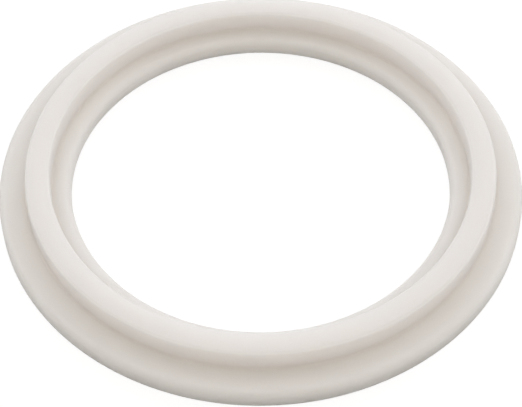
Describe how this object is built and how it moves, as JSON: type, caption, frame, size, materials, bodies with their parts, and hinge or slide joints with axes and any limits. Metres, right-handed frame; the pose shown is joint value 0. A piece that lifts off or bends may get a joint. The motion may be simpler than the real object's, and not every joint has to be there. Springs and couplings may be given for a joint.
{
  "type": "flanged seal ring",
  "caption": "Flat rubber seal ring moulded in one piece, with a raised sealing rib between a wide outer flange and a narrow inner ledge.",
  "frame": {"origin": "centre of the flat underside, on the ring's axis", "axes": "+Z along the ring's axis, from the flat underside towards the rib; the ring is round, so X and Y are free"},
  "size_m": [0.0762, 0.0762, 0.0067],
  "materials": {
    "moulded_rubber": "matte"
  },
  "bodies": {
    "root": {"seal_ring": "moulded_rubber"}
  },
  "joints": []
}
